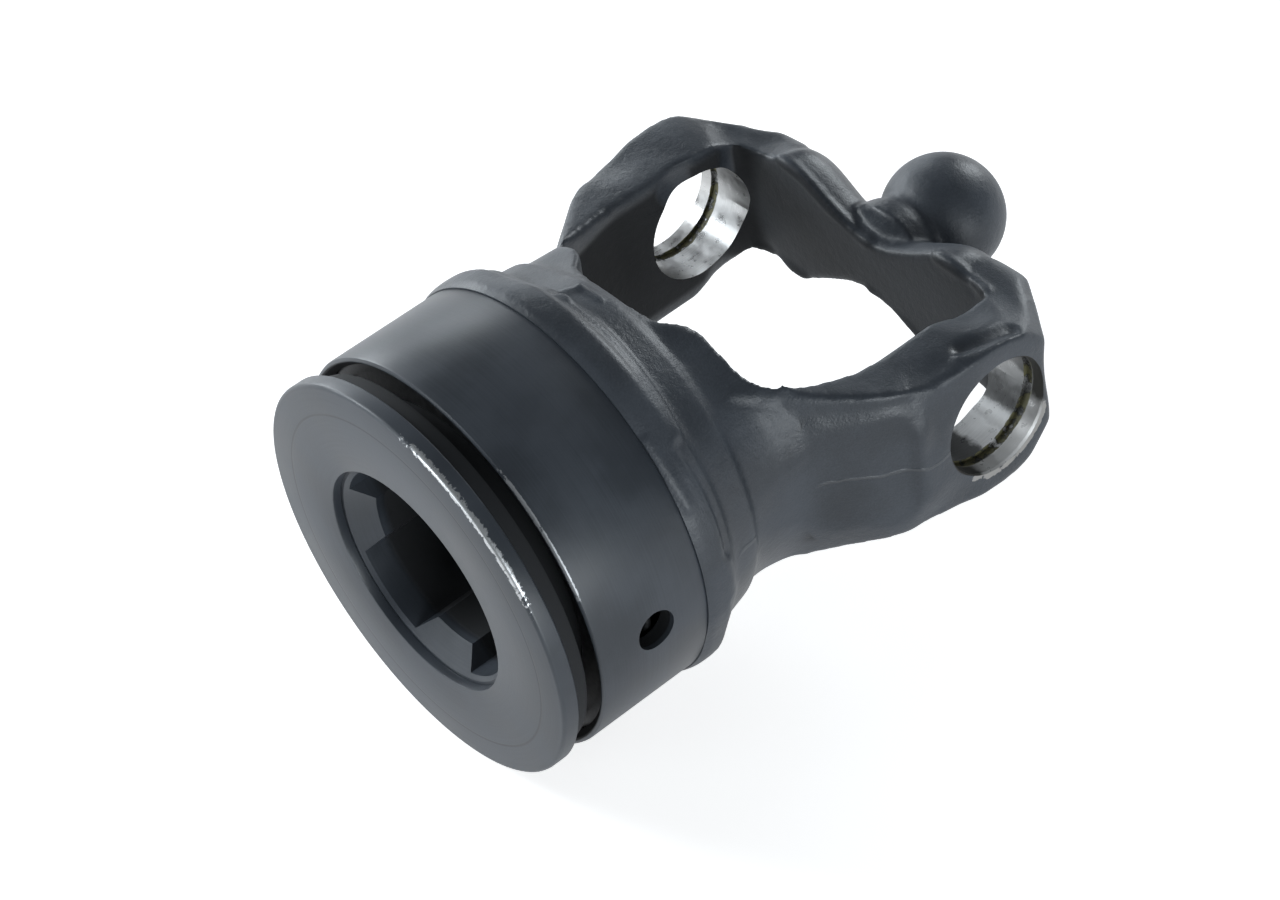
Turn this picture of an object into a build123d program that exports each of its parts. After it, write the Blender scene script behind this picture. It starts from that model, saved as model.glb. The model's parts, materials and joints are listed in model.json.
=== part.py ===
from build123d import *
import os
from math import radians, sin, sqrt

# Wide-angle driveshaft yoke with a pull-ring quick release, in millimetres.
# X is the shaft axis, Y the axis of the cross bore and Z is up. The values below count x from the
# front face of the pull ring. The parts are exported with the cross bore's centre at the origin.

# Hub
hub_radius = 46.0
hub_front = 10.3
hub_turned_end = 37.6
shoulder_rise = 1.0
shoulder_radius = hub_radius + shoulder_rise
shoulder_crest = 39.6
shoulder_end = 45.0
root_drop = 6.9
root_radius = hub_radius - root_drop
mouth_chamfer = 1.7
side_hole_radius = 4.5
side_hole_x = 24.6

# Pocket round the nose
mouth_wall = 2.4
washer_seat_radius = hub_radius - mouth_wall
washer_seat_x = 16.5
washer_ledge = 1.6
pocket_radius = washer_seat_radius - washer_ledge
pocket_end = 40.0

# Nose and spline bore
pocket_gap = 11.0
nose_radius = pocket_radius - pocket_gap
nose_front = 2.1
nose_wall = 6.7
spline_major = nose_radius - nose_wall
spline_tooth_height = 3.9
spline_minor = spline_major - spline_tooth_height
spline_count = 4
spline_slot_half = 8.2
spline_flank_angle = 15.0
lead_in = 0.8
lead_in_radius = spline_major + lead_in

# Pull ring
flange_radius = hub_radius
flange_thickness = 4.0
flange_bevel = 0.6
flange_hole_radius = lead_in_radius + 0.8
stop_gap = 0.1
collar_step = 2.0
collar_radius = flange_radius - collar_step
collar_end = 8.0
slide_clearance = 0.06
sleeve_wall = 3.1
sleeve_end = 38.5
heavy_sleeve_wall = 6.54
heavy_sleeve_radius = nose_radius + slide_clearance + heavy_sleeve_wall
heavy_sleeve_start = 28.6
end_flange_clearance = 0.4
end_flange_radius = pocket_radius - end_flange_clearance
end_flange_thickness = 2.5
ring_travel = 8.0

# Locking balls
ball_lock_radius = 4.35
ball_hole_clearance = 0.05
ball_relief_depth = 3.0
lock_ball_count = 4

# Spring, washer and retaining ring
spring_wire_radius = 1.3
spring_rim_clearance = 0.9
spring_mean_radius = pocket_radius - spring_rim_clearance - spring_wire_radius
spring_turns = 3.5
spring_seat_gap = 0.05
washer_thickness = 2.0
washer_hole_clearance = 0.4
washer_rim_clearance = 0.15
retainer_thickness = 1.5
retainer_width = 3.2
retainer_groove_depth = 0.9
retainer_gap_angle = 24.0
seat_gap = 0.05

# Fork
cross_x = 111.7
cross_bore_radius = 13.5
ear_inner = 38.3
ear_thickness = 15.3
ear_outer = ear_inner + ear_thickness
ear_half_height = 19.2
ear_start_run = 14.7
ear_start_x = cross_x - ear_start_run
bore_chamfer = 0.5
bore_chamfer_land = 0.5
ear_end_x = cross_x + cross_bore_radius + bore_chamfer + bore_chamfer_land
snap_groove_inset = 9.2
snap_groove_start = ear_inner + snap_groove_inset
snap_groove_width = 2.3
snap_groove_depth = 0.8
bore_run_in = 2.5
web_thickness = 13.0
web_rear = shoulder_end + web_thickness

# Bridge and centring ball
window_clearance = 0.8
bridge_face_x = cross_x + cross_bore_radius + window_clearance
bridge_depth = 14.4
bridge_half_height = 14.8
bridge_hump_rise = 0.5
bridge_waist_depth = 11.9
bridge_waist_half_height = 7.7
bridge_corner_run = 11.0
bridge_corner_x = bridge_face_x + bridge_corner_run
bridge_corner_y = ear_inner - 0.3
bridge_land_y = 32.5
ball_reach = 37.0
ball_x = cross_x + ball_reach
ball_radius = 14.0
neck_radius = 10.2
neck_flare = 2.4
neck_root_radius = neck_radius + neck_flare

# Curves of the forging. The first number is the place between the shoulder and the cross bore, and the
# second is a share of ear_outer, ear_inner or ear_half_height.
arm_outside = [(0.090, 0.787), (0.195, 0.733), (0.315, 0.720), (0.415, 0.752), (0.495, 0.819),
               (0.585, 0.896), (0.670, 0.964)]
arm_inside = [(0.690, 1.0), (0.585, 0.971), (0.480, 0.919), (0.390, 0.851), (0.339, 0.747),
              (0.321, 0.653), (0.312, 0.535), (0.298, 0.460), (0.264, 0.390), (0.230, 0.325),
              (0.207, 0.200)]
arm_top = [(0.210, 2.370), (0.267, 2.109), (0.306, 1.865), (0.345, 1.615), (0.390, 1.385),
           (0.440, 1.208), (0.525, 1.115), (0.645, 1.042), (0.795, 1.0)]
arm_envelope = [(0.429, 0.799), (0.516, 0.875), (0.585, 0.937), (0.649, 0.981), (0.705, 1.013),
                (0.775, 1.041), (0.855, 1.058), (0.945, 1.071)]


def outline(points):
    """Closed straight outline through the points, as a face on the XY plane."""
    return make_face(Polyline(*points, close=True))


def ring_solid(points):
    """Solid of revolution about the X axis from (x, radius) points."""
    return revolve(outline(points), Axis.X, 360)


def along(share):
    return shoulder_end + share * (cross_x - shoulder_end)


def curve_points(curve, size):
    return [(along(share), height * size) for share, height in curve]


def tube(x0, x1, inner, outer):
    return ring_solid([(x0, inner), (x1, inner), (x1, outer), (x0, outer)])


def cross_cylinder(radius, y0, y1, x=cross_x):
    """Cylinder along Y between y0 and y1."""
    middle = (y0 + y1) / 2
    return Pos(x, middle, 0) * Rot(X=90) * Cylinder(radius, abs(y1 - y0))


def mirrored(shape):
    return shape + mirror(shape, Plane.XZ)


def body_of_revolution():
    """Hub, raw shoulder ring and the round envelope that the arms grow out of."""
    line = Polyline((nose_front, 0), (nose_front, nose_radius), (pocket_end, nose_radius),
                    (pocket_end, pocket_radius), (washer_seat_x, pocket_radius),
                    (washer_seat_x, washer_seat_radius),
                    (hub_front + mouth_chamfer, washer_seat_radius),
                    (hub_front, washer_seat_radius + mouth_chamfer),
                    (hub_front, hub_radius - 0.35), (hub_front + 0.35, hub_radius),
                    (hub_turned_end, hub_radius))
    rise = Spline((hub_turned_end, hub_radius), (shoulder_crest, shoulder_radius),
                  tangents=[(1, 1), (1, 0)])
    crest = Line((shoulder_crest, shoulder_radius), (shoulder_end - 1.6, shoulder_radius))
    envelope = curve_points(arm_envelope, ear_outer)
    fall = Spline((shoulder_end - 1.6, shoulder_radius), (shoulder_end + 0.4, hub_radius - 0.1),
                  (shoulder_end + 2.4, root_radius + 4.6), (along(0.083), root_radius + 2.9),
                  (along(0.147), root_radius + 1.3), (along(0.192), root_radius + 0.4),
                  (along(0.247), root_radius), (along(0.315), root_radius + 0.2),
                  (along(0.378), root_radius + 1.4), *envelope, tangents=[(1, 0), (1, 0.1)])
    far_x = ball_x + ball_radius
    far_radius = ear_outer + 6
    tail = Polyline(envelope[-1], (cross_x, far_radius), (far_x, far_radius), (far_x, 0), (nose_front, 0))
    edges = [*line.edges(), *rise.edges(), *crest.edges(), *fall.edges(), *tail.edges()]
    return revolve(make_face(edges), Axis.X, 360)


def fork_plan():
    """Outline seen from above, y above zero: web, arm, ear and the corner of the bridge."""
    start = (shoulder_end + 1, hub_radius + 0.5)
    inside = curve_points(arm_inside, ear_inner)
    flat_end = (ear_end_x - 4.2, ear_inner)
    land = (bridge_face_x + 1, bridge_land_y - 4.5)
    outer = Spline(start, *curve_points(arm_outside, ear_outer), (ear_start_x, ear_outer),
                   tangents=[(1, -1), (1, 0)])
    ear = Polyline((ear_start_x, ear_outer), (ear_end_x, ear_outer),
                   (bridge_corner_x, bridge_corner_y), (bridge_face_x + bridge_depth - 0.5, bridge_land_y),
                   (bridge_face_x + bridge_depth * 0.7, land[1]), land)
    corner = Spline(land, (bridge_face_x - 0.1, ear_inner - 3.8), (bridge_face_x - 1.4, ear_inner - 1),
                    flat_end, tangents=[(-0.2, 1), (-1, 0)])
    flat = Line(flat_end, inside[0])
    arm = Spline(*inside, (web_rear, 0), tangents=[(-1, 0), (0, -1)])
    web_front = shoulder_end - 3
    root = Polyline((web_rear, 0), (web_front, 0), (web_front, ear_outer), (start[0], ear_outer), start)
    edges = [*outer.edges(), *ear.edges(), *corner.edges(), *flat.edges(), *arm.edges(), *root.edges()]
    return make_face(edges)


def fork_side():
    """Outline seen from the side, z above zero: it narrows from the root to the ear."""
    points = curve_points(arm_top, ear_half_height)
    crown = (along(0.945), ear_half_height)
    top = Spline(*points, crown, tangents=[(1, -1.4), (1, 0)])
    end_x = bridge_face_x + bridge_depth
    beside = bridge_face_x - cross_x
    end = Spline(crown, (cross_x + beside * 0.23, ear_half_height * 0.974),
                 (cross_x + beside * 0.65, ear_half_height * 0.88),
                 (bridge_face_x + 1, bridge_half_height),
                 (bridge_face_x + bridge_depth * 0.42, bridge_half_height * 0.98),
                 (bridge_face_x + bridge_depth * 0.70, bridge_half_height * 0.86),
                 (bridge_face_x + bridge_depth * 0.90, bridge_half_height * 0.52),
                 (end_x - 0.4, bridge_half_height * 0.2), tangents=[(1, 0), (0.4, -1)])
    web_front = shoulder_end - 3
    rest = Polyline((end_x - 0.4, bridge_half_height * 0.2), (end_x, 0), (web_front, 0),
                    (web_front, ear_outer), (along(0.105), ear_outer), points[0])
    return make_face([*top.edges(), *end.edges(), *rest.edges()])


def fork():
    plan = mirrored(extrude(fork_plan(), ear_outer, both=True))
    half = extrude(Plane.XZ * fork_side(), ear_outer + 10, both=True)
    side = half + mirror(half, Plane.XY)
    solid = plan & side
    corner = ear_corner()
    return solid - mirrored(corner + mirror(corner, Plane.XY))


def bridge_section(depth, half_height, y):
    """Section of the bridge on a plane across Y: a flat inner face and a domed outer side."""
    side = Line((0, -half_height), (0, half_height))
    dome = Spline((0, half_height), (depth * 0.5, half_height * 0.88), (depth * 0.86, half_height * 0.52),
                  (depth, 0), (depth * 0.86, -half_height * 0.52), (depth * 0.5, -half_height * 0.88),
                  (0, -half_height), tangents=[(1, -0.05), (-1, -0.05)])
    plane = Plane(origin=(bridge_face_x, y, 0), x_dir=(1, 0, 0), z_dir=(0, -1, 0))
    return plane * make_face([*side.edges(), *dome.edges()])


def bridge():
    full = (bridge_depth, bridge_half_height)
    hump = (bridge_depth, bridge_half_height + bridge_hump_rise)
    shoulder = ((bridge_depth + bridge_waist_depth) / 2 - 0.4, bridge_waist_half_height + 3.2)
    waist = (bridge_waist_depth, bridge_waist_half_height)
    half = [(1.15, full), (0.76, full), (0.52, hump), (0.31, shoulder), (0.1, waist)]
    stations = half + [(-share, size) for share, size in reversed(half)]
    bar = loft([bridge_section(*size, share * ear_inner) for share, size in stations])
    front = bridge_face_x + bridge_depth + 1
    keep = outline([(ear_start_x, 0), (ear_start_x, ear_outer), (ear_end_x, ear_outer),
                    (bridge_corner_x, bridge_corner_y), (front, bridge_land_y - 2), (front, 0)])
    return bar & mirrored(extrude(keep, ear_outer, both=True))


def ear_corner():
    """What the forging lacks above the corner of an ear, where the slanted end facet meets its top."""
    a = Vector(cross_x + 6.8, ear_outer, ear_half_height - 0.9)
    b = Vector(ear_end_x, ear_outer, ear_half_height * 0.6)
    c = Vector(bridge_face_x + 5.5, ear_inner, bridge_half_height + 1.4)
    up = (b - a).cross(c - a)
    if up.Z < 0:
        up = up * -1
    size = 2 * ear_outer
    return Plane(origin=a, x_dir=b - a, z_dir=up) * Pos(0, 0, size / 2) * Box(size, size, size)


def ball_and_neck():
    neck_length = sqrt(ball_radius ** 2 - neck_radius ** 2)
    start = bridge_face_x + bridge_waist_depth / 2
    neck = Spline((start, neck_root_radius), (start + 2.6, neck_radius + 1.7),
                  (start + 5.4, neck_radius + 0.8), (ball_x - neck_length, neck_radius),
                  tangents=[(0.5, -1), (1, -0.2)])
    sides = Polyline((ball_x - neck_length, neck_radius), (ball_x - neck_length, 0), (start - 3, 0),
                     (start - 3, bridge_waist_half_height - 1), (start, neck_root_radius))
    post = revolve(make_face([*neck.edges(), *sides.edges()]), Axis.X, 360)
    return post + Pos(ball_x, 0, 0) * Sphere(ball_radius)


def spline_profile():
    """Bore outline with slots between wedge-shaped teeth."""
    bore = Circle(spline_minor)
    reach = spline_major + 2
    half_in = spline_slot_half + (spline_major - spline_minor + 2) * sin(radians(spline_flank_angle))
    half_out = spline_slot_half - 2 * sin(radians(spline_flank_angle))
    slot = outline([(spline_minor - 2, -half_in), (reach, -half_out), (reach, half_out),
                    (spline_minor - 2, half_in)])
    pitch = 360 / spline_count
    for step in range(spline_count):
        bore += Rot(Z=pitch * (step + 0.5)) * slot
    return Circle(spline_major) & bore


def spline_bore():
    profile = spline_profile()
    across = Plane(origin=(nose_front - 1, 0, 0), x_dir=(0, 1, 0), z_dir=(1, 0, 0))
    cut = extrude(across * profile, web_rear - nose_front + 10)
    depth = lead_in_radius - spline_minor
    cone = ring_solid([(nose_front - 1, 0), (nose_front - 1, lead_in_radius + 1),
                       (nose_front + depth, spline_minor), (nose_front + depth, 0)])
    return cut + cone


def ball_holes():
    """Radial holes for the locking balls, with a rounded seat that keeps each ball in the wall."""
    hole = Sphere(ball_lock_radius + ball_hole_clearance)
    rise = nose_radius - lock_ball_height() + 1
    hole += Pos(0, 0, rise / 2) * Cylinder(ball_lock_radius + ball_hole_clearance, rise)
    return [spot * hole for spot in lock_ball_places()]


def lock_ball_height():
    return nose_radius - ball_lock_radius - ball_hole_clearance + slide_clearance


def lock_ball_places():
    pitch = 360 / lock_ball_count
    return [Rot(X=pitch * (step + 0.5)) * Pos(side_hole_x, 0, lock_ball_height())
            for step in range(lock_ball_count)]


def cross_bores():
    """Ground bore of one ear with its snap-ring groove and chamfers, on the +Y side."""
    bore = cross_cylinder(cross_bore_radius, ear_inner - bore_run_in, ear_outer + 4)
    bore += cross_cylinder(cross_bore_radius + snap_groove_depth, snap_groove_start,
                           snap_groove_start + snap_groove_width)
    rim = Pos(cross_x, ear_outer - bore_chamfer / 2, 0) * Rot(X=-90) * Cone(
        cross_bore_radius, cross_bore_radius + bore_chamfer, bore_chamfer)
    return mirrored(bore + rim)


def yoke():
    shell = body_of_revolution()
    hub_length = shoulder_end + 2
    hub_part = shell & Pos(hub_length / 2, 0, 0) * Box(hub_length, 2 * ear_outer, 2 * ear_outer)
    fork_part = shell & fork()
    solid = hub_part + fork_part + bridge() + ball_and_neck()
    groove_x = washer_seat_x - washer_thickness - seat_gap * 2 - retainer_thickness
    solid -= tube(groove_x, groove_x + retainer_thickness + seat_gap, pocket_radius,
                  washer_seat_radius + retainer_groove_depth)
    solid -= spline_bore()
    solid -= Pos(side_hole_x, -hub_radius, 0) * Rot(X=90) * Cylinder(side_hole_radius, 20)
    for hole in ball_holes():
        solid -= hole
    solid -= cross_bores()
    return solid


def pull_ring():
    bore = nose_radius + slide_clearance
    sleeve_outer = bore + sleeve_wall
    relief_start = side_hole_x + ring_travel - ball_lock_radius + 0.3
    relief_end = side_hole_x + ring_travel + ball_lock_radius - 0.3
    relief = bore + ball_relief_depth
    lip = nose_front - stop_gap
    end_flange = sleeve_end - end_flange_thickness
    return ring_solid([(0, flange_hole_radius + 0.3), (0.3, flange_hole_radius),
                       (lip, flange_hole_radius), (lip, bore),
                       (relief_start - 1.5, bore), (relief_start, relief),
                       (relief_end - 1.5, relief), (relief_end, bore), (sleeve_end, bore),
                       (sleeve_end, end_flange_radius), (end_flange, end_flange_radius),
                       (end_flange, heavy_sleeve_radius), (heavy_sleeve_start, heavy_sleeve_radius),
                       (heavy_sleeve_start, sleeve_outer), (collar_end, sleeve_outer),
                       (collar_end, collar_radius - 0.6), (collar_end - 0.6, collar_radius),
                       (flange_thickness, collar_radius), (flange_thickness, flange_radius - 0.3),
                       (flange_thickness - 0.3, flange_radius), (flange_bevel, flange_radius),
                       (0, flange_radius - flange_bevel)])


def washer():
    inner = nose_radius + slide_clearance + sleeve_wall + washer_hole_clearance
    x1 = washer_seat_x - seat_gap
    return tube(x1 - washer_thickness, x1, inner, washer_seat_radius - washer_rim_clearance)


def retaining_ring():
    x1 = washer_seat_x - washer_thickness - seat_gap * 2
    outer = washer_seat_radius + retainer_groove_depth - seat_gap
    ring = tube(x1 - retainer_thickness + seat_gap, x1, outer - retainer_width, outer)
    half = radians(retainer_gap_angle / 2)
    reach = outer + 5
    gap = extrude(Plane.YZ * outline([(0, 0), (reach * sin(half), reach), (-reach * sin(half), reach)]),
                  washer_seat_x + 5)
    return ring - gap


def lock_spring():
    start = washer_seat_x + spring_wire_radius + spring_seat_gap
    end = sleeve_end - end_flange_thickness - spring_wire_radius - spring_seat_gap
    path = Pos(start, 0, 0) * Rot(Y=90) * Helix((end - start) / spring_turns, end - start,
                                                spring_mean_radius)
    section = Plane(path @ 0, z_dir=path % 0) * Circle(spring_wire_radius)
    return sweep(section, path)


def lock_balls():
    return Compound(children=[spot * Sphere(ball_lock_radius) for spot in lock_ball_places()])


def main():
    os.makedirs("parts", exist_ok=True)
    nodes = {"yoke": yoke, "pull_ring": pull_ring, "spring_washer": washer,
             "retaining_ring": retaining_ring, "lock_spring": lock_spring, "lock_balls": lock_balls}
    for name, make in nodes.items():
        export_step(Pos(-cross_x, 0, 0) * make(), f"parts/{name}.step")


main()
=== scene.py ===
import json
import math

import bpy
from mathutils import Matrix, Vector

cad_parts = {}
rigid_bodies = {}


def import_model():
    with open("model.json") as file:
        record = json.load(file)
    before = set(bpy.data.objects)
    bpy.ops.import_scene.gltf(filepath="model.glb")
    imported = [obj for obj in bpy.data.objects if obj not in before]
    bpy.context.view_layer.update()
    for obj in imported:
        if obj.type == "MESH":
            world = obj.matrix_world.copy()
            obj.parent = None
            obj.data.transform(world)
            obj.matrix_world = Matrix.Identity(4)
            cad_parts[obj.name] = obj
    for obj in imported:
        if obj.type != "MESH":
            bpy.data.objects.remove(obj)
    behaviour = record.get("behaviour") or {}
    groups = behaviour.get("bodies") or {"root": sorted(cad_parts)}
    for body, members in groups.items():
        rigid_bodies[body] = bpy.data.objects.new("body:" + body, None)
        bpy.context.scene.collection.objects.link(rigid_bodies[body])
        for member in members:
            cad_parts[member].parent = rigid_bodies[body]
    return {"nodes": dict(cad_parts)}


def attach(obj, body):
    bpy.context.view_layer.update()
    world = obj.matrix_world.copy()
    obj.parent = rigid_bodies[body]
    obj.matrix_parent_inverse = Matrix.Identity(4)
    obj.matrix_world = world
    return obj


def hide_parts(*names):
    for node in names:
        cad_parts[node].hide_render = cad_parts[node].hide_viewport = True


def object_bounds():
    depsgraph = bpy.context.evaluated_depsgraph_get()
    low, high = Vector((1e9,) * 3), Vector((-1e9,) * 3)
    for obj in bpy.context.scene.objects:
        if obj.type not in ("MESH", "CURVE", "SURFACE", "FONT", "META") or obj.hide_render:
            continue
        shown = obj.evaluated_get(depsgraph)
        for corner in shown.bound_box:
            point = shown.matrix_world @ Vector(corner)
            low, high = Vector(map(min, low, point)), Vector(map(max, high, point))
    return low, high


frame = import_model()
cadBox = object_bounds()
scene = bpy.context.scene
mm = 0.001
crossX = 111.7  # mm from the pull ring's front face, from which x is counted below


def at(x, y, z):
    return ((x - crossX) * mm, y * mm, z * mm)


def deselectAll():
    if bpy.context.object and bpy.context.object.mode != "OBJECT":
        bpy.ops.object.mode_set(mode="OBJECT")
    bpy.ops.object.select_all(action="DESELECT")


def activate(obj):
    deselectAll()
    obj.select_set(True)
    bpy.context.view_layer.objects.active = obj


# A CAD node's shape as a new piece at the origin
def copyOfNode(node, name):
    activate(frame["nodes"][node])
    bpy.ops.object.duplicate()
    piece = bpy.context.object
    piece.name = name
    piece.data.name = name
    bpy.ops.object.parent_clear(type="CLEAR_KEEP_TRANSFORM")
    for key in list(piece.keys()):
        del piece[key]
    piece.data.materials.clear()
    bpy.ops.mesh.customdata_custom_splitnormals_clear()
    bpy.ops.object.mode_set(mode="EDIT")
    bpy.ops.mesh.select_all(action="SELECT")
    bpy.ops.mesh.mark_sharp(clear=True)
    bpy.ops.mesh.remove_doubles(threshold=0.0000005)
    bpy.ops.mesh.normals_make_consistent(inside=False)
    bpy.ops.object.mode_set(mode="OBJECT")
    return piece


# Lathe work: one vertex is extruded along the profile (x, radius in mm), then spun about X
def turned(name, points, steps=240):
    deselectAll()
    bpy.ops.mesh.primitive_plane_add(size=mm)
    piece = bpy.context.object
    piece.name = name
    piece.data.name = name
    bpy.ops.object.mode_set(mode="EDIT")
    bpy.ops.mesh.select_all(action="SELECT")
    bpy.ops.mesh.merge(type="CENTER")
    spots = [Vector(at(x, 0, r)) for x, r in points]
    bpy.ops.mesh.select_all(action="SELECT")
    bpy.ops.transform.translate(value=spots[0])
    for a, b in zip(spots, [*spots[1:], spots[0]]):
        bpy.ops.mesh.extrude_region_move(TRANSFORM_OT_translate={"value": b - a})
    bpy.ops.mesh.select_all(action="SELECT")
    bpy.ops.mesh.remove_doubles(threshold=0.000001)
    bpy.ops.mesh.select_all(action="SELECT")
    bpy.ops.mesh.spin(steps=steps, angle=2 * math.pi, center=(0, 0, 0), axis=(1, 0, 0))
    bpy.ops.mesh.select_all(action="SELECT")
    bpy.ops.mesh.remove_doubles(threshold=0.000001)
    bpy.ops.mesh.normals_make_consistent(inside=False)
    bpy.ops.object.mode_set(mode="OBJECT")
    return piece


def applied(piece, kind, **settings):
    activate(piece)
    mod = piece.modifiers.new(kind.lower(), kind)
    for key, value in settings.items():
        setattr(mod, key, value)
    bpy.ops.object.modifier_apply(modifier=mod.name)


def cutBy(piece, cutter, operation="DIFFERENCE"):
    applied(piece, "BOOLEAN", object=cutter, operation=operation, solver="MANIFOLD")
    bpy.data.objects.remove(cutter, do_unlink=True)


# Round bar along Y from y0 to y1
def crossRod(name, radius, y0, y1, x=crossX, vertices=160):
    deselectAll()
    bpy.ops.mesh.primitive_cylinder_add(
        vertices=vertices, radius=radius * mm, depth=abs(y1 - y0) * mm,
        location=at(x, (y0 + y1) / 2, 0), rotation=(math.pi / 2, 0, 0))
    rod = bpy.context.object
    rod.name = name
    bpy.ops.object.transform_apply()
    return rod


# Box between two corners
def block(name, lowest, highest):
    deselectAll()
    middle = [(a + b) / 2 for a, b in zip(lowest, highest)]
    bpy.ops.mesh.primitive_cube_add(size=1, location=at(*middle))
    piece = bpy.context.object
    piece.name = name
    piece.scale = [(b - a) * mm for a, b in zip(lowest, highest)]
    bpy.ops.object.transform_apply()
    return piece


def joined(parts):
    deselectAll()
    for part in parts:
        part.select_set(True)
    bpy.context.view_layer.objects.active = parts[0]
    bpy.ops.object.join()
    return parts[0]


camera = {
    "place": (-0.33903, -0.41592, 0.47627),
    "right": (0.74782, -0.65323, -0.11859),
    "up": (0.52185, 0.46792, 0.71325),
    "back": (-0.41042, -0.59527, 0.69080),
    "lens": 94.244, "sensor": 36.0, "clip": (0.05, 20.0),
}


def addCamera():
    deselectAll()
    bpy.ops.object.camera_add(location=camera["place"])
    cam = bpy.context.object
    cam.name = "camera"
    axes = Matrix((camera["right"], camera["up"], camera["back"])).transposed()
    cam.rotation_euler = axes.to_euler()
    cam.data.lens = camera["lens"]
    cam.data.sensor_width = camera["sensor"]
    cam.data.clip_start, cam.data.clip_end = camera["clip"]
    scene.camera = cam


# Place and power of each lamp; all are square and look at the cross bore's centre
lamps = {
    "discLight": ((-1.15, 0.45, 0.16), 3.7),
    "leftLight": ((-0.6, 1.0, 0.6), 9.5),
    "farLight": ((0.0, 1.27, 0.32), 5.0),
    "hubLight": ((0.55, 1.05, 0.36), 2.2),
    "ballLight": ((1.15, 0.25, 0.37), 5.6),
    "sideLight": ((-0.4, -1.2, 0.22), 6.4),
    "nearLight": ((0.1, -1.3, 0.08), 3.0),
}
lampMake = {"size": 0.45, "tone": (0.90, 0.96, 1.0)}


def addLamps():
    for name, (place, power) in lamps.items():
        deselectAll()
        bpy.ops.object.light_add(type="AREA", location=place)
        lamp = bpy.context.object
        lamp.name = name
        lamp.data.shape = "RECTANGLE"
        lamp.data.size = lamp.data.size_y = lampMake["size"]
        lamp.data.energy = power
        lamp.data.color = lampMake["tone"]
        lamp.rotation_euler = (-Vector(place)).to_track_quat("-Z", "Y").to_euler()


# Adds a node; inputs is a list of (socket, value or output socket)
def linked(tree, kind, inputs=(), **settings):
    node = tree.nodes.new(kind)
    for key, value in settings.items():
        setattr(node, key, value)
    for socket, value in inputs:
        if isinstance(value, bpy.types.NodeSocket):
            tree.links.new(value, node.inputs[socket])
        else:
            node.inputs[socket].default_value = value
    return node


def maths(tree, operation, a, b=0.0):
    return linked(tree, "ShaderNodeMath", [(0, a), (1, b)], operation=operation).outputs[0]


def plus(tree, a, b):
    return maths(tree, "ADD", a, b)


def minus(tree, a, b):
    return maths(tree, "SUBTRACT", a, b)


def times(tree, a, b):
    return maths(tree, "MULTIPLY", a, b)


def larger(tree, a, b):
    return maths(tree, "MAXIMUM", a, b)


def unsigned(tree, a):
    return maths(tree, "ABSOLUTE", a)


def hypotenuse(tree, a, b):
    return maths(tree, "SQRT", plus(tree, times(tree, a, a), times(tree, b, b)))


# Sum of two values, each times its own weight
def weighed(tree, a, b, weightA, weightB):
    return plus(tree, times(tree, a, weightA), times(tree, b, weightB))


def ramp(tree, value, low, high, toLow=0.0, toHigh=1.0):
    return linked(tree, "ShaderNodeMapRange", [
        ("Value", value), ("From Min", low), ("From Max", high), ("To Min", toLow), ("To Max", toHigh),
    ], interpolation_type="SMOOTHSTEP").outputs["Result"]


# Between two values of a coordinate: 1 inside, 0 outside, with soft ends
def within(tree, value, low, high, soft):
    return times(tree, ramp(tree, value, low - soft, low + soft), ramp(tree, value, high + soft, high - soft))


def blended(tree, fac, a, b):
    return linked(tree, "ShaderNodeMix", [(0, fac), (6, a), (7, b)], data_type="RGBA").outputs[2]


def noise(tree, vector, scale, detail=2.0, rough=0.5):
    return linked(tree, "ShaderNodeTexNoise", [
        ("Vector", vector), ("Scale", scale), ("Detail", detail), ("Roughness", rough),
    ]).outputs["Fac"]


def bumped(tree, shader, strength, distance, height):
    bump = linked(tree, "ShaderNodeBump", [
        ("Strength", strength), ("Distance", distance), ("Height", height)])
    tree.links.new(bump.outputs[0], shader.inputs["Normal"])


def material(name):
    mat = bpy.data.materials.new(name)
    mat.use_nodes = True
    return mat, mat.node_tree, mat.node_tree.nodes["Principled BSDF"]


surround = {"strength": 0.12, "tone": (0.9, 0.95, 1.0, 1)}


# White where the camera sees it, and faint light elsewhere
def whiteWorld():
    scene.world = bpy.data.worlds.new("studio")
    scene.world.use_nodes = True
    tree = scene.world.node_tree
    tree.nodes.clear()
    lit = linked(tree, "ShaderNodeBackground", [
        ("Color", surround["tone"]), ("Strength", surround["strength"])])
    seen = linked(tree, "ShaderNodeBackground", [("Color", (1, 1, 1, 1)), ("Strength", 1.0)])
    path = linked(tree, "ShaderNodeLightPath")
    mix = linked(tree, "ShaderNodeMixShader", [
        ("Fac", path.outputs["Is Camera Ray"]), (1, lit.outputs[0]), (2, seen.outputs[0])])
    linked(tree, "ShaderNodeOutputWorld", [("Surface", mix.outputs[0])])


floor = {
    "size": 8.0, "gap": 0.0003, "tone": (0.8, 0.8, 0.8, 1), "rough": 0.9, "shine": 0.1,
    "seen": 0.74, "mirrored": 0.45,
}


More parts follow.
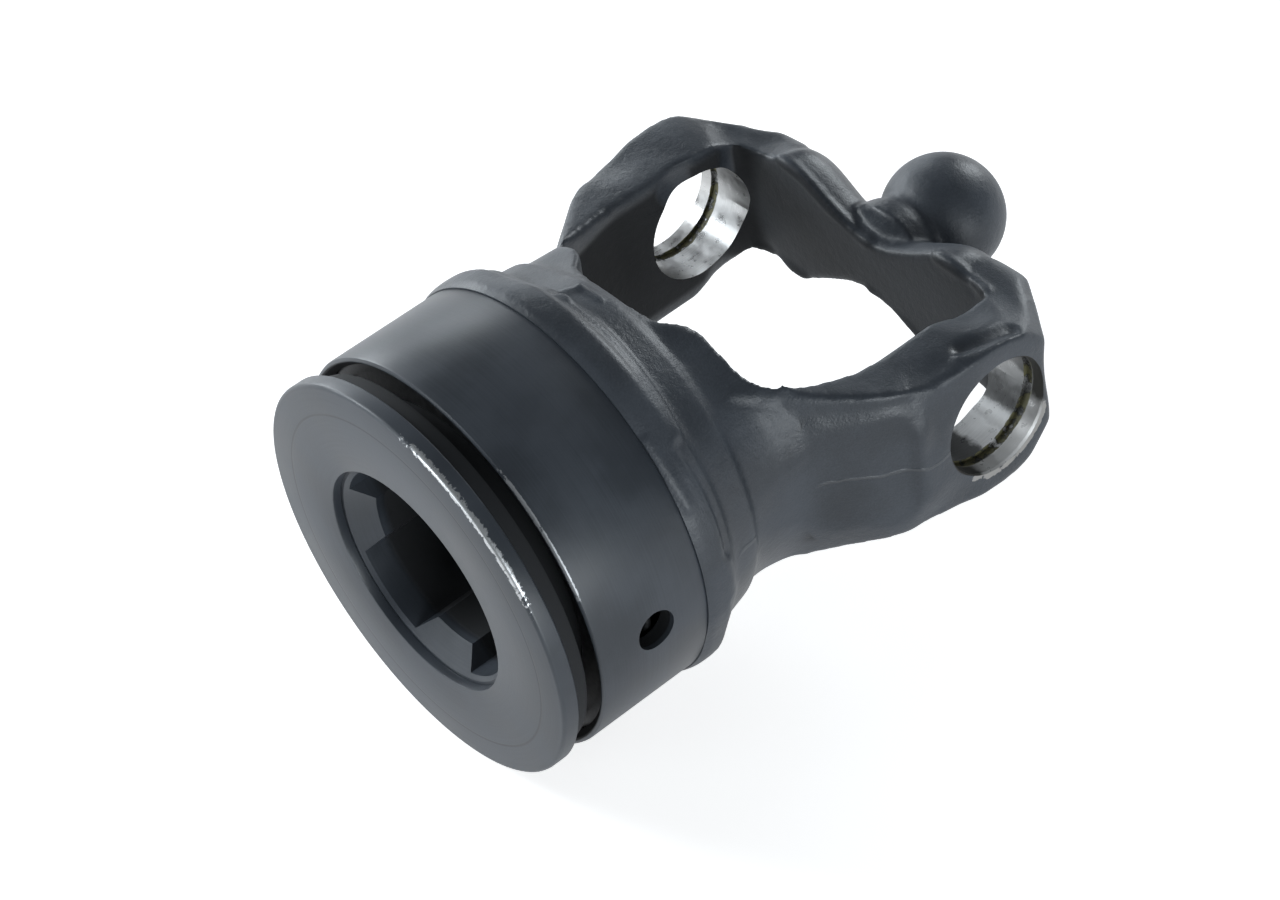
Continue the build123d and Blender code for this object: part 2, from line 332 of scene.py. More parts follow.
# Pale floor under the part: white to the camera, pale in reflections, and it keeps the shadow
def paleFloor():
    deselectAll()
    bpy.ops.mesh.primitive_plane_add(size=floor["size"], location=(0, 0, cadBox[0][2] - floor["gap"]))
    sheet = bpy.context.object
    sheet.name = "floorSheet"
    bpy.ops.object.transform_apply()
    mat, tree, shader = material("floorWhite")
    shader.inputs["Base Color"].default_value = floor["tone"]
    shader.inputs["Roughness"].default_value = floor["rough"]
    shader.inputs["Specular IOR Level"].default_value = floor["shine"]
    path = linked(tree, "ShaderNodeLightPath")
    mirrored = larger(tree, path.outputs["Is Glossy Ray"], path.outputs["Is Transmission Ray"])
    seen = larger(tree, times(tree, path.outputs["Is Camera Ray"], floor["seen"]),
                  times(tree, mirrored, floor["mirrored"]))
    shader.inputs["Emission Color"].default_value = (1, 1, 1, 1)
    tree.links.new(seen, shader.inputs["Emission Strength"])
    sheet.data.materials.append(mat)


# Node group: object place in millimetres, as x, radius about the shaft axis and angle
def shaftCoordinates():
    group = bpy.data.node_groups.new("shaftCoordinates", "ShaderNodeTree")
    for name in ("Along", "Radius", "Angle"):
        group.interface.new_socket(name, in_out="OUTPUT", socket_type="NodeSocketFloat")
    group.interface.new_socket("Place", in_out="OUTPUT", socket_type="NodeSocketVector")
    place = linked(group, "ShaderNodeTexCoord").outputs["Object"]
    scaled = linked(group, "ShaderNodeVectorMath", [(0, place), (3, 1 / mm)], operation="SCALE")
    millimetres = scaled.outputs[0]
    x, y, z = linked(group, "ShaderNodeSeparateXYZ", [(0, millimetres)]).outputs[:3]
    linked(group, "NodeGroupOutput", [
        ("Along", plus(group, x, crossX)), ("Radius", hypotenuse(group, y, z)),
        ("Angle", maths(group, "ARCTAN2", z, y)), ("Place", millimetres)])
    return group


shaftGroup = shaftCoordinates()


def shaftNode(tree):
    return linked(tree, "ShaderNodeGroup", node_tree=shaftGroup)


# Radius from the cross bore's axis, angle about it in degrees, and the place along it
def boreCoordinates(tree, place):
    x, y, z = linked(tree, "ShaderNodeSeparateXYZ", [(0, place)]).outputs[:3]
    angle = times(tree, maths(tree, "ARCTAN2", z, x), 180 / math.pi)
    return hypotenuse(tree, x, z), angle, y


paint = {
    "dark": (0.035, 0.041, 0.050, 1), "light": (0.059, 0.068, 0.082, 1), "shade": (0.010, 0.011, 0.013, 1),
    "mottle": (0.35, 0.68), "dull": 0.8, "bright": (0.62, 0.63, 0.64, 1),
}
# Ranges in mm, each from where an effect ends to where it is full
forging = {
    "windowAlong": (63.0, 126.6), "windowSide": (39.0, 38.4), "windowHeight": (18.5, 15.0),
    "flashAlong": (50.0, 122.0), "flashSide": (40.0, 41.5), "flashWidth": (0.55, 0.15), "flashWander": 6.0,
    "flashTone": (0.14, 0.145, 0.15, 1),
    "rimRadius": (16.0, 14.6), "rimSide": (52.2, 52.8), "rimAngles": (-125.0, -20.0),
    "rimTone": (0.38, 0.37, 0.36, 1),
    "gloss": (0.34, 0.46), "relief": 0.00028,
}


# Thin dark paint over the scale and grain of a forging, with the dies' flash line at mid height
def forgedPaint():
    f = forging
    mat, tree, shader = material("forgedPaint")
    shaft = shaftNode(tree)
    place, along = shaft.outputs["Place"], shaft.outputs["Along"]
    _, y, z = linked(tree, "ShaderNodeSeparateXYZ", [(0, place)]).outputs[:3]
    side = unsigned(tree, y)
    broad = noise(tree, place, 0.06, 3.0)
    grain = noise(tree, place, 0.42, 5.0, 0.62)
    fine = noise(tree, place, 2.2, 3.0, 0.6)
    tone = ramp(tree, weighed(tree, broad, fine, 0.7, 0.3), *paint["mottle"])
    color = blended(tree, tone, paint["dark"], paint["light"])
    # painted shade: the window's inner faces, which the arms shade, are painted darker and duller
    inner = times(tree, within(tree, along, *f["windowAlong"], 1.5), ramp(tree, side, *f["windowSide"]))
    inner = times(tree, inner, ramp(tree, unsigned(tree, z), *f["windowHeight"]))
    normal = linked(tree, "ShaderNodeTexCoord").outputs["Normal"]
    forwards, sideways, _ = linked(tree, "ShaderNodeSeparateXYZ", [(0, normal)]).outputs[:3]
    inwards = times(tree, maths(tree, "SIGN", y), sideways)
    inwards = larger(tree, ramp(tree, inwards, -0.2, -0.6), ramp(tree, forwards, -0.3, -0.7))
    inner = times(tree, inner, inwards)
    # painted shade: the inner faces take the dark shade tone
    color = blended(tree, inner, color, paint["shade"])
    # the flash line wanders a little
    flash = plus(tree, z, times(tree, minus(tree, broad, 0.5), f["flashWander"]))
    flash = times(tree, ramp(tree, unsigned(tree, flash), *f["flashWidth"]),
                  times(tree, ramp(tree, side, *f["flashSide"]), within(tree, along, *f["flashAlong"], 1.0)))
    height = plus(tree, weighed(tree, grain, fine, 0.75, 0.25), times(tree, flash, 0.8))
    color = blended(tree, times(tree, flash, 0.35), color, f["flashTone"])
    # bare metal round the bore's outer rim
    boreRadius, boreAngle, _ = boreCoordinates(tree, place)
    rim = times(tree, ramp(tree, boreRadius, *f["rimRadius"]), ramp(tree, side, *f["rimSide"]))
    rim = times(tree, rim, within(tree, boreAngle, *f["rimAngles"], 8.0))
    worn = ramp(tree, plus(tree, times(tree, rim, 0.45), grain), 0.78, 0.88)
    color = blended(tree, worn, color, f["rimTone"])
    rough = ramp(tree, broad, 0.3, 0.7, *f["gloss"])
    rough = larger(tree, rough, times(tree, inner, paint["dull"]))
    tree.links.new(times(tree, worn, 0.8), shader.inputs["Metallic"])
    tree.links.new(color, shader.inputs["Base Color"])
    tree.links.new(rough, shader.inputs["Roughness"])
    bumped(tree, shader, 0.8, f["relief"], height)
    return mat


# Edge is (x, radius) of the chipped edge, sector its (middle, half width) in radians; on the hub this bright
# band along the front edge is partly a painted highlight
hubFinish = {
    "edge": (10.5, 45.8), "sector": (2.45, 0.5), "chipAndHighlightReach": 1.0, "chipsAndHighlight": 0.55,
    "nosePart": ((7.5, 9.5), (31.5, 30.5)), "mouthPart": ((45.2, 44.6), (30.5, 31.2)),
}
ringFinish = {
    "edge": (0.2, 45.8), "sector": (2.2, 0.66), "chipAndHighlightReach": 2.4, "chipsAndHighlight": 1.0,
    "markRadius": 39.2, "markWidth": (0.35, 0.1), "markDepth": (0.5, 0.2), "rearPart": (3.9, 4.2),
}
turning = {"gloss": (0.34, 0.42), "relief": 0.00008, "lines": 3.0, "sweep": 1.5}


# Paint over fine lathe lines, chipped to bright steel along one edge within a sector of angles; on the hub
# that bright band is partly a painted edge highlight
def turnedPaint(name, finish):
    onFace = "markRadius" in finish
    mat, tree, shader = material(name)
    shaft = shaftNode(tree)
    place, along, radius, angle = (shaft.outputs[k] for k in ("Place", "Along", "Radius", "Angle"))
    broad = noise(tree, place, 0.05, 3.0)
    fine = noise(tree, place, 1.6, 3.0, 0.6)
    lines = linked(tree, "ShaderNodeCombineXYZ", [
        (0, times(tree, radius if onFace else along, turning["lines"])),
        (1, times(tree, angle, turning["sweep"]))]).outputs[0]
    lathe = noise(tree, lines, 1.0, 2.0)
    height = weighed(tree, fine, lathe, 0.6, 0.25)
    tone = ramp(tree, weighed(tree, broad, lathe, 0.8, 0.2), *paint["mottle"])
    color = blended(tree, tone, paint["dark"], paint["light"])
    # painted shade: what lies out of the light is painted darker and duller: behind the flange, and inside
    # the hub's mouth
    if onFace:
        mark = unsigned(tree, minus(tree, radius, finish["markRadius"]))
        mark = times(tree, ramp(tree, mark, *finish["markWidth"]), ramp(tree, along, *finish["markDepth"]))
        height = minus(tree, height, times(tree, mark, 0.9))
        color = blended(tree, times(tree, mark, 0.6), color, paint["shade"])
        paintedShade = ramp(tree, along, *finish["rearPart"])
    else:
        noseAlong, noseRadius = finish["nosePart"]
        outerRadius, innerRadius = finish["mouthPart"]
        paintedShade = times(tree, ramp(tree, along, *noseAlong), ramp(tree, radius, *noseRadius))
        paintedShade = larger(tree, paintedShade, times(tree, ramp(tree, radius, *outerRadius),
                                            ramp(tree, radius, *innerRadius)))
    # painted shade behind the flange and inside the hub's mouth: those parts take the dark shade tone
    color = blended(tree, paintedShade, color, paint["shade"])
    edgeX, edgeR = finish["edge"]
    middle, spread = finish["sector"]
    # bright chips along the edge; on the hub partly a painted highlight of the front edge
    away = plus(tree, unsigned(tree, minus(tree, along, edgeX)), unsigned(tree, minus(tree, radius, edgeR)))
    nearEdge = ramp(tree, away, finish["chipAndHighlightReach"], 0.4)
    inSector = ramp(tree, unsigned(tree, minus(tree, angle, middle)), spread, spread * 0.45)
    chips = noise(tree, place, 0.9, 6.0, 0.75)
    amount = times(tree, nearEdge, inSector)
    worn = ramp(tree, plus(tree, times(tree, amount, 0.46), chips), 0.80, 0.90)
    worn = times(tree, worn, finish["chipsAndHighlight"])
    rough = ramp(tree, broad, 0.3, 0.7, *turning["gloss"])
    rough = larger(tree, rough, times(tree, paintedShade, paint["dull"]))
    tree.links.new(blended(tree, worn, color, paint["bright"]), shader.inputs["Base Color"])
    tree.links.new(times(tree, worn, 0.9), shader.inputs["Metallic"])
    tree.links.new(rough, shader.inputs["Roughness"])
    bumped(tree, shader, 0.3, turning["relief"], height)
    return mat


# Tones of the two bores by (degrees, tone), which are painted reflections: bright bands where lamps would
# mirror and dark bands between; the snap-ring groove's middle, and the land outside it
steel = {
    "near": [(-120, 0.10), (-92, 0.12), (-84, 0.92), (-66, 0.86), (-60, 0.5), (-49, 0.42), (-43, 0.1),
             (-26, 0.1), (-16, 0.34), (-6, 0.4), (2, 0.14), (60, 0.3)],
    "far": [(-150, 0.12), (-126, 0.5), (-108, 0.9), (-72, 0.96), (-62, 0.4), (-50, 0.36), (-34, 0.5),
            (-22, 0.64), (-12, 0.45), (2, 0.22), (12, 0.12), (60, 0.3)],
    "fineTone": (0.3, 0.3, 0.3, 1), "landTone": (0.55, 0.54, 0.53, 1),
    "grime": (0.022, 0.021, 0.017, 1), "brass": (0.16, 0.15, 0.08, 1),
    "groove": 48.65, "grooveWidth": (1.7, 1.1), "land": (49.6, 50.2), "cleanLand": (-112.0, -22.0),
    "nearMetal": 0.45, "relief": 0.00004,
}


# A grey that follows a table of (degrees, tone)
def toneByAngle(tree, angle, table):
    node = linked(tree, "ShaderNodeValToRGB", [(0, ramp(tree, angle, -180, 180))])
    node.color_ramp.interpolation = "EASE"
    points = node.color_ramp.elements
    while len(points) < len(table):
        points.new(0.5)
    for point, (degrees, tone) in zip(points, table):
        share = (degrees + 180) / 360
        point.position = share * share * (3 - 2 * share)
        point.color = (tone, tone, tone, 1)
    return node.outputs[0]


# Ground bearing bore: painted reflections as bright and dark bands along it, fine lines round it, grime in
# the groove
def groundSteel():
    s = steel
    mat, tree, shader = material("groundSteel")
    place = shaftNode(tree).outputs["Place"]
    _, angle, y = boreCoordinates(tree, place)
    lines = linked(tree, "ShaderNodeCombineXYZ", [
        (0, times(tree, y, 5.0)), (1, times(tree, angle, 0.03))]).outputs[0]
    grinding = noise(tree, lines, 1.0, 2.0)
    smear = noise(tree, place, 0.35, 4.0, 0.6)
    waver = plus(tree, angle, times(tree, minus(tree, smear, 0.5), 16.0))
    isFar = ramp(tree, y, -1.0, 1.0)
    # painted reflections: bright and dark bands by angle round each bore
    reflectionBands = blended(tree, isFar, toneByAngle(tree, waver, s["near"]), toneByAngle(tree, waver, s["far"]))
    reflectionBands = blended(tree, ramp(tree, grinding, 0.3, 0.8, 0.0, 0.22), reflectionBands, s["fineTone"])
    depth = unsigned(tree, y)
    groove = ramp(tree, unsigned(tree, minus(tree, depth, s["groove"])), *s["grooveWidth"])
    grime = ramp(tree, plus(tree, times(tree, groove, 0.5), smear), 0.86, 1.0)
    outside = ramp(tree, depth, *s["land"])
    land = times(tree, outside, minus(tree, 1.0, isFar))
    land = times(tree, land, minus(tree, 1.0, within(tree, waver, *s["cleanLand"], 6.0)))
    grime = larger(tree, grime, land)
    reflectionBands = blended(tree, times(tree, outside, 0.7), reflectionBands, s["landTone"])
    dirt = blended(tree, times(tree, ramp(tree, smear, 0.46, 0.56), groove), s["grime"], s["brass"])
    metal = minus(tree, 1.0, times(tree, grime, 0.85))
    metal = times(tree, metal, ramp(tree, isFar, 0.0, 1.0, s["nearMetal"], 1.0))
    rough = ramp(tree, plus(tree, smear, times(tree, grime, 0.5)), 0.2, 1.0, 0.22, 0.6)
    tree.links.new(blended(tree, grime, reflectionBands, dirt), shader.inputs["Base Color"])
    tree.links.new(metal, shader.inputs["Metallic"])
    tree.links.new(rough, shader.inputs["Roughness"])
    bumped(tree, shader, 0.15, s["relief"], grinding)
    return mat


# Steel of the lock's inner parts: material, tone and roughness
innerParts = {
    "spring_washer": ("washerSteel", (0.18, 0.18, 0.185), 0.4),
    "retaining_ring": ("retainerSteel", (0.16, 0.16, 0.165), 0.4),
    "lock_spring": ("springSteel", (0.12, 0.12, 0.125), 0.35),
    "lock_balls": ("ballSteel", (0.6, 0.6, 0.6), 0.12),
}


def innerSteel(name, tone, rough):
    mat, tree, shader = material(name)
    mottle = noise(tree, shaftNode(tree).outputs["Place"], 0.8, 4.0, 0.6)
    color = blended(tree, ramp(tree, mottle, 0.3, 0.7), (*[t * 0.6 for t in tone], 1), (*tone, 1))
    tree.links.new(color, shader.inputs["Base Color"])
    tree.links.new(ramp(tree, mottle, 0.2, 0.8, rough, rough + 0.2), shader.inputs["Roughness"])
    shader.inputs["Metallic"].default_value = 1.0
    return mat


def colorInnerParts():
    for name, look in innerParts.items():
        node = frame["nodes"][name]
        node.data.materials.clear()
        node.data.materials.append(innerSteel(*look))


# Radii of slots, teeth and the lead-in cone's mouth, half a slot's width, and its flank in degrees
splines = {"major": 24.3, "minor": 20.4, "count": 4, "half": 8.2, "flank": 15.0, "leadIn": 25.1}


def slotTurn(step):
    return 2 * math.pi * (step + 0.5) / splines["count"]


# The bore's outline as a cutter: a round bore, slots with slanted flanks and the lead-in cone
def splineCutter(x0, x1):
    s = splines
    major, minor, front = s["major"], s["minor"], hub["noseFront"]
    cutter = turned("splineCutter", [(x0, 0), (x1, 0), (x1, minor), (x0, minor)])
    slope = math.sin(math.radians(s["flank"]))
    for step in range(s["count"]):
        slot = block("slotCutter", (x0, -s["half"], minor - 3), (x1, s["half"], major + 3))
        for v in slot.data.vertices:
            grow = (major * mm - v.co.z) * slope
            v.co.y += math.copysign(grow, v.co.y)
        slot.rotation_euler = (slotTurn(step), 0, 0)
        activate(slot)
        bpy.ops.object.transform_apply()
        cutBy(cutter, slot, "UNION")
    limit = turned("slotLimit", [(x0 - 1, 0), (x1 + 1, 0), (x1 + 1, major), (x0 - 1, major)])
    cutBy(cutter, limit, "INTERSECT")
    depth = s["leadIn"] - minor
    cone = turned("leadIn", [(front - 1, 0), (front - 1, s["leadIn"] + 1),
                             (front + depth, minor), (front + depth, 0)])
    cutBy(cutter, cone, "UNION")
    return cutter


# Cross bore: radius, where it starts inside the ear, and the groove's start, width and depth
fork = {
    "voxel": 0.7 * mm, "rounding": 16, "bore": 13.5, "runIn": 2.5, "groove": (47.5, 2.3, 0.8),
    "ear": (38.3, 53.6), "chamfer": 0.5, "sharpBefore": 40,
    "hubPlug": [(20, 0), (56, 0), (56, 41), (44, 44), (20, 44)],
    "splinesCut": (30, 75), "socketFront": 30,
    # hand work of the dies: place, reach and shift in mm, and the sides it is repeated on
    "pulls": [
        ((97, 53, 17.5), 11, (0, -1.1, -1.1), "four"),
        ((61, 25.5, 29.7), 13, (0, 0.9, 1.1), "one"),
        ((51, 14, 44), 12, (0, -0.3, -1.7), "one"),
        ((62, -17, 35), 7, (0, 0, 0.9), "one"),
        ((106, 39, 15), 7, (0, 1.3, 0), "two"),
        ((132, 36, 14), 11, (0, -0.3, -1.6), "one"),
        ((119, 49, 18), 13, (0, 0.2, 0.9), "two"),
        ((116, -39, 19), 9, (0, -0.6, -1.7), "two"),
        ((126.9, -52.5, 3), 12, (-0.4, 0.5, 0), "one"),
        ((43, -43, -15), 10, (0, 0.5, 0.3), "one"),
    ],
    # folds (below 0) and ridges (above 0): points, half width and height in mm, and the sides
    "strokes": [
        ([(107.2, -48.6, 19.2), (112, -50, 19.1), (118.9, -50.7, 17.6)], 2.0, -1.1, "two"),
        ([(104.5, -50.4, 18.2), (107.5, -51, 17.4)], 1.6, 0.7, "one"),
        ([(125.5, 43.5, 15.5), (122.5, 39.5, 15.5), (121.9, 38.3, 8.8)], 3.0, -0.7, "two"),
        ([(126.5, 26.1, 16), (126.5, 19.4, 14.6), (126.7, 11.2, 10.4), (126.9, 0.3, 7.1)], 1.6, 0.6, "two"),
        ([(126.4, -22.1, 15.6), (126.9, -28.5, 15.1), (126.2, -36.1, 14.7)], 1.6, 0.6, "two"),
        ([(63.7, -29.7, 25.5), (72.2, -35.9, 21.3), (81.3, -43.8, 20), (90.6, -49.6, 19.4),
          (101, -51, 19.2)], 1.3, 0.3, "two"),
        ([(72.2, -38.5, 17.8), (81.3, -45.5, 17.4), (90.6, -51, 17)], 1.6, -0.25, "two"),
        ([(67.9, -33.8, 20.3), (69.3, -36.9, 15.8), (69.8, -39.1, 9.5)], 2.2, 0.3, "one"),
        ([(44.3, -36.3, 29.3), (45, -40.4, 22.3), (45.3, -43.6, 14.3), (44.8, -45.9, 6.7)],
         1.5, -0.9, "four"),
        ([(47.2, 1, 44), (47.7, -10.1, 42.4), (47, -22.1, 38.2), (45.8, -33.5, 30.7)], 1.4, 0.6, "four"),
        ([(49.8, 3.1, 42.4), (53.2, 2.4, 41.6)], 0.9, 0.5, "one"),
        ([(53.2, 2.4, 41.6), (53.8, -3, 41.4)], 0.9, 0.5, "one"),
        ([(47.1, 2.4, 43.9), (47.6, 2.2, 43.8)], 1.1, -1.2, "one"),
        ([(97.4, -53.2, 17.5), (95.3, -53.6, 11.6), (93.9, -53.5, 3.8)], 2.4, -0.4, "two"),
        ([(38.5, -32.8, 32.6), (38.8, -37.6, 27), (39.4, -42, 20.4)], 1.3, 0.5, "one"),
    ],
}
# Signs of y and z for each copy of a pull or a stroke
sides = {"one": [(1, 1)], "two": [(1, 1), (-1, -1)], "four": [(1, 1), (-1, -1), (1, -1), (-1, 1)]}


# Moves the skin near each place, most at its middle and not at all at its reach
def pulledIn(piece, pulls):
    spots = []
    for (x, y, z), reach, shift, where in pulls:
        for sy, sz in sides[where]:
            spots.append((Vector(at(x, y * sy, z * sz)), reach * mm,
                          Vector((shift[0], shift[1] * sy, shift[2] * sz)) * mm))
    for v in piece.data.vertices:
        here = v.co.copy()
        for spot, reach, shift in spots:
            away = (here - spot).length / reach
            if away < 1:
                v.co += shift * (1 - away * away) ** 2


# Raises or sinks the skin along each stroke, as hammer scale and die marks do
def worked(piece, strokes):
    spans = []
    for number, (points, width, height, where) in enumerate(strokes):
        for sy, sz in sides[where]:
            line = [Vector(at(x, y * sy, z * sz)) for x, y, z in points]
            for a, b in zip(line, line[1:]):
                cull = (width * mm * 2 + (b - a).length) ** 2
                spans.append((a, b - a, cull, width * mm * 1.6, height * mm, (number, sy, sz)))
    moves = {}
    for v in piece.data.vertices:
        lifts = {}
        for start, span, cull, reach, height, stroke in spans:
            away = v.co - start
            if away.length_squared > cull:
                continue
            share = min(1.0, max(0.0, away.dot(span) / span.length_squared))
            gap = (away - span * share).length / reach
            if gap < 1:
                lift = height * (1 - gap * gap) ** 2
                if abs(lift) > abs(lifts.get(stroke, 0)):
                    lifts[stroke] = lift
        if lifts:
            moves[v.index] = v.normal * sum(lifts.values())
    for index, move in moves.items():
        piece.data.vertices[index].co += move


# Drops the loose crumbs that the remesh leaves inside
def largestPart(piece):
    activate(piece)
    bpy.ops.object.mode_set(mode="EDIT")
    bpy.ops.mesh.select_all(action="SELECT")
    bpy.ops.mesh.separate(type="LOOSE")
    bpy.ops.object.mode_set(mode="OBJECT")
    parts = sorted(bpy.context.selected_objects, key=lambda part: len(part.data.vertices))
    print("stage: loose crumbs", len(parts) - 1)
    for crumb in parts[:-1]:
        bpy.data.objects.remove(crumb, do_unlink=True)
    parts[-1].name = "forkSkin"
    return parts[-1]


# The CAD yoke with its bores filled, remeshed and rounded as a forging is
def forgedFork():
    piece = copyOfNode("yoke", "forkSkin")
    inner, outer = fork["ear"]
    plugs = [crossRod("plug", fork["bore"] + 1.0, side * (inner + 0.2), side * (outer - 0.2))
             for side in (-1, 1)]
    plugs.append(turned("hubPlug", fork["hubPlug"]))
    piece = joined([piece, *plugs])
    piece.data.remesh_voxel_size = fork["voxel"]
    piece.data.use_remesh_fix_poles = False
    piece.data.use_remesh_preserve_volume = False
    piece.data.use_remesh_preserve_attributes = False
    activate(piece)
    bpy.ops.object.voxel_remesh()
    applied(piece, "SMOOTH", factor=0.5, iterations=fork["rounding"])
    piece = largestPart(piece)
    pulledIn(piece, fork["pulls"])
    worked(piece, fork["strokes"])
    print("stage: fork forged", len(piece.data.polygons))
    return piece


# Ground bore with its snap-ring groove and a small chamfer, as one turned cutter
def boreCutter(side):
    start, width, depth = fork["groove"]
    r, c = fork["bore"], fork["chamfer"]
    inner, outer = fork["ear"]
    near = inner - fork["runIn"]
    line = [(near, 0), (near, r), (start, r), (start, r + depth), (start + width, r + depth),
            (start + width, r), (outer - c, r), (outer + 2.0, r + c + 2.0), (outer + 2.0, 0)]
    cutter = turned("boreCutter", [(x + crossX, q) for x, q in line], steps=160)
    activate(cutter)
    cutter.rotation_euler = (0, 0, side * math.pi / 2)
    bpy.ops.object.transform_apply()
    return cutter


def machinedFork():
    piece = forgedFork()
    for side in (1, -1):
        cutBy(piece, boreCutter(side))
    cutBy(piece, block("hubSide", (-20, -80, -80), (hub["turnedEnd"], 80, 80)))
    start, end, radius = fork["socketFront"], hub["plugEnd"], hub["plugRadius"]
    cutBy(piece, turned("socket", [(start, 0), (end, 0), (end, radius), (start, radius)]))
    cutBy(piece, splineCutter(*fork["splinesCut"]))
    print("stage: fork machined", len(piece.data.polygons))
    return piece


# Edges are lists of (along x, in from the radius), in mm
hub = {
    "noseFront": 2.1, "noseRadius": 31.0, "noseEdge": 0.4, "front": 10.3, "radius": 46.0, "turnedEnd": 37.6,
    "plugEnd": 41.4, "plugRadius": 45.9, "plugGap": 0.05, "pocketRadius": 42.0, "pocketEnd": 40.0,
    "seatRadius": 43.6, "seatX": 16.5, "mouth": 1.7,
    "rim": [(0, 0.9), (0.12, 0.5), (0.4, 0.16), (0.9, 0)], "rearEdge": (0.3, 0.15),
    "splinesCut": (0, 60), "holeX": 24.6, "sideHole": 4.5, "ballHole": 4.4, "ballHoleReach": (28, 16),
}


def turnedHub():
    h = hub
    front, radius, nose, edge = h["front"], h["radius"], h["noseRadius"], h["noseEdge"]
    rearX, rearR = h["rearEdge"]
    plug = h["plugRadius"] - h["plugGap"]
    line = [(h["noseFront"], 0), (h["noseFront"], nose - edge), (h["noseFront"] + edge, nose),
            (h["pocketEnd"], nose), (h["pocketEnd"], h["pocketRadius"]),
            (h["seatX"], h["pocketRadius"]), (h["seatX"], h["seatRadius"]),
            (front + h["mouth"], h["seatRadius"]), (front, h["seatRadius"] + h["mouth"]),
            *[(front + x, radius - r) for x, r in h["rim"]],
            (h["turnedEnd"] - rearX, radius), (h["turnedEnd"], radius - rearR),
            (h["turnedEnd"], plug), (h["plugEnd"], plug), (h["plugEnd"], 0)]
    piece = turned("hubSkin", line)
    cutBy(piece, splineCutter(*h["splinesCut"]))
    cutBy(piece, crossRod("sideHole", h["sideHole"], -60, -40, x=h["holeX"], vertices=64))
    middle, depth = h["ballHoleReach"]
    for step in range(splines["count"]):
        deselectAll()
        spot = Matrix.Rotation(slotTurn(step), 3, "X") @ Vector((0, 0, middle * mm))
        bpy.ops.mesh.primitive_cylinder_add(
            vertices=48, radius=h["ballHole"] * mm, depth=depth * mm,
            location=Vector(at(h["holeX"], 0, 0)) + spot, rotation=(slotTurn(step), 0, 0))
        drill = bpy.context.object
        bpy.ops.object.transform_apply()
        cutBy(piece, drill)
    return piece


# Flange, collar and sleeve; foot and seat are each (x, radius) at the sleeve's rear; edges as in the hub
ring = {
    "flange": 46.0, "thickness": 4.0, "hole": 25.9, "lip": 2.0, "bore": 31.06, "collar": 44.0,
    "collarEnd": 8.0, "sleeve": 34.16, "sleeveEnd": 38.5, "foot": (36.0, 41.6), "seat": (28.6, 37.6),
    "holeEdge": [(0, 0.35), (0.1, 0.1), (0.35, 0)], "collarEdge": [(0, 0.8), (0.2, 0.2), (0.8, 0)],
    "frontEdge": [(0.9, 0), (0.45, 0.12), (0.14, 0.42), (0, 0.85)], "break": 0.35, "corner": 0.3,
}


def pullRing():
    r = ring
    thickness, flange, collar = r["thickness"], r["flange"], r["collar"]
    (footX, footR), (seatX, seatR) = r["foot"], r["seat"]
    line = [*[(x, r["hole"] + rise) for x, rise in r["holeEdge"]], (r["lip"], r["hole"]),
            (r["lip"], r["bore"]), (r["sleeveEnd"], r["bore"]), (r["sleeveEnd"], footR), (footX, footR),
            (footX, seatR), (seatX, seatR), (seatX, r["sleeve"]), (r["collarEnd"], r["sleeve"]),
            *[(r["collarEnd"] - x, collar - drop) for x, drop in r["collarEdge"]],
            (thickness + r["corner"], collar), (thickness, collar + r["corner"]),
            (thickness, flange - r["break"]), (thickness - r["break"], flange),
            *[(x, flange - drop) for x, drop in r["frontEdge"]]]
    return turned("ringSkin", line, steps=288)


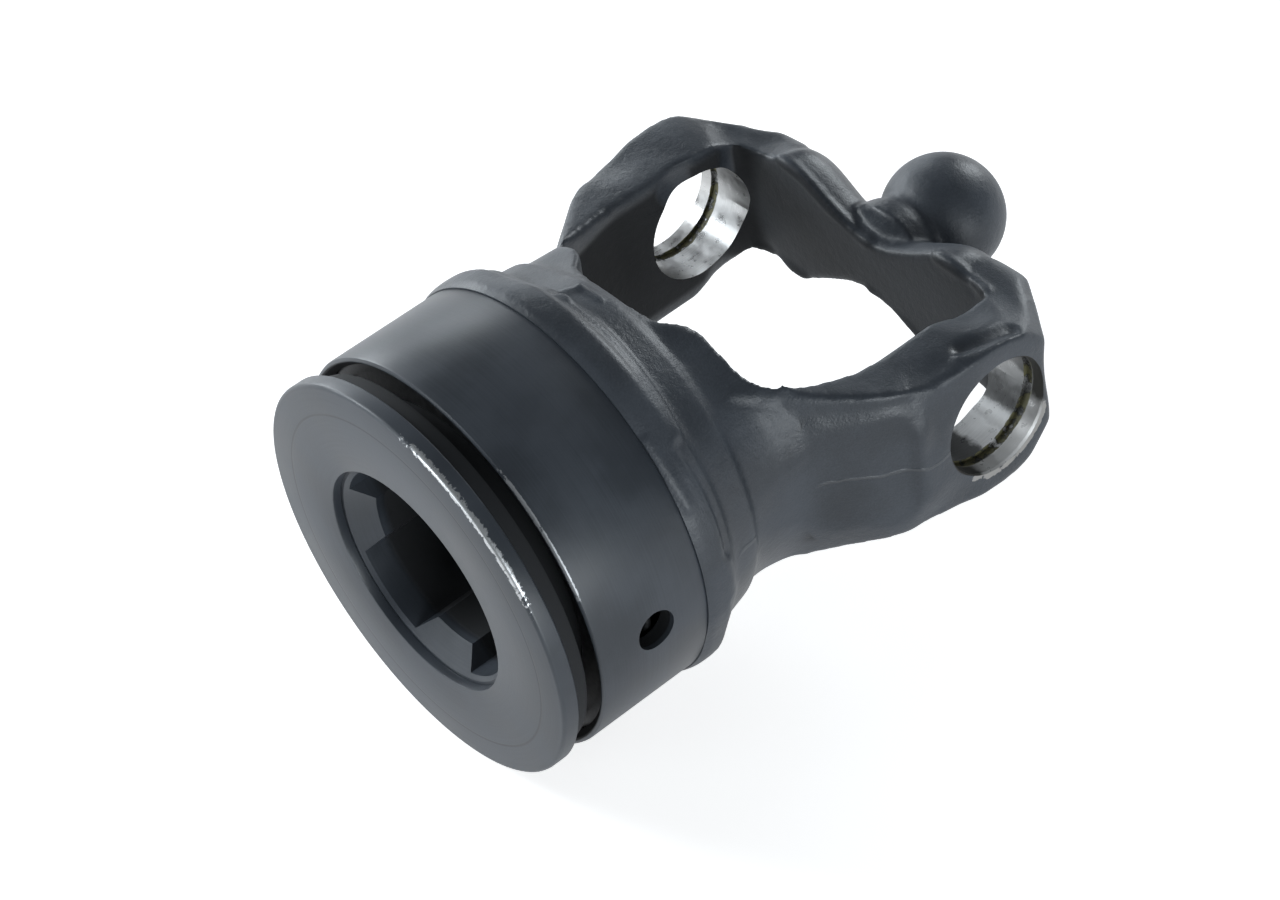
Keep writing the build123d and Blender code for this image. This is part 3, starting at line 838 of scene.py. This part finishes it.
# Gives the cross bores' walls, grooves and chamfers the ground steel
def markBores(piece):
    bore, (inner, outer) = fork["bore"], fork["ear"]
    start, width, depth = fork["groove"]
    slack = 0.05
    marks = []
    for face in piece.data.polygons:
        corners = [piece.data.vertices[k].co / mm for k in face.vertices]
        radii = [math.hypot(c.x, c.z) for c in corners]
        y = abs(face.center.y) / mm
        x, z = face.center.x / mm, face.center.z / mm
        facing = -(face.normal.x * x + face.normal.z * z) / max(math.hypot(x, z), 0.1)
        wall = max(radii) < bore + 0.02 and min(radii) > bore - 0.1
        groove = start - slack < y < start + width + slack and max(radii) < bore + depth + slack
        chamfer = facing > 0.6 and y > outer - 1.2 and max(radii) < bore + 1.6
        ground = y > inner - fork["runIn"] - 0.1 and (wall or groove or chamfer)
        marks.append(1 if ground else 0)
    piece.data.polygons.foreach_set("material_index", marks)


sharpAngle = 32  # degrees between two faces, from which their edge is sharp


# Smooth shading with sharp edges only on and round the machined faces
def sharpenMachined(piece, machined):
    activate(piece)
    bpy.ops.object.shade_smooth()
    faces = piece.data.polygons
    touching = {}
    for face in faces:
        for key in face.edge_keys:
            touching.setdefault(key, []).append(face.index)
    limit = math.cos(math.radians(sharpAngle))
    for edge in piece.data.edges:
        pair = touching.get(edge.key, [])
        if len(pair) != 2:
            continue
        a, b = (faces[k] for k in pair)
        if (machined(a) or machined(b)) and a.normal.dot(b.normal) < limit:
            edge.use_edge_sharp = True


def dressed(piece, body, nodes, mats):
    piece.data.materials.clear()
    for mat in mats:
        piece.data.materials.append(mat)
    if len(mats) > 1:
        markBores(piece)
        hubEnd = (fork["sharpBefore"] - crossX) * mm
        sharpenMachined(piece, lambda face: face.material_index == 1 or face.center.x < hubEnd)
    else:
        piece.data.polygons.foreach_set("material_index", [0] * len(piece.data.polygons))
        activate(piece)
        bpy.ops.object.shade_smooth_by_angle(angle=math.radians(sharpAngle))
    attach(piece, body)
    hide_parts(*nodes)


addCamera()
addLamps()
whiteWorld()
paleFloor()
scene.view_settings.view_transform = "Standard"
print("stage: camera and lights")

forgePaint = forgedPaint()
hubPaint = turnedPaint("hubPaint", hubFinish)
ringPaint = turnedPaint("ringPaint", ringFinish)
boreSteel = groundSteel()
colorInnerParts()
print("stage: materials")

forkSkin = machinedFork()
dressed(forkSkin, "yoke_body", ["yoke"], [forgePaint, boreSteel])
hubSkin = turnedHub()
dressed(hubSkin, "yoke_body", ["yoke"], [hubPaint])
ringSkin = pullRing()
dressed(ringSkin, "ring_body", ["pull_ring"], [ringPaint])
print("stage: hub and ring turned")
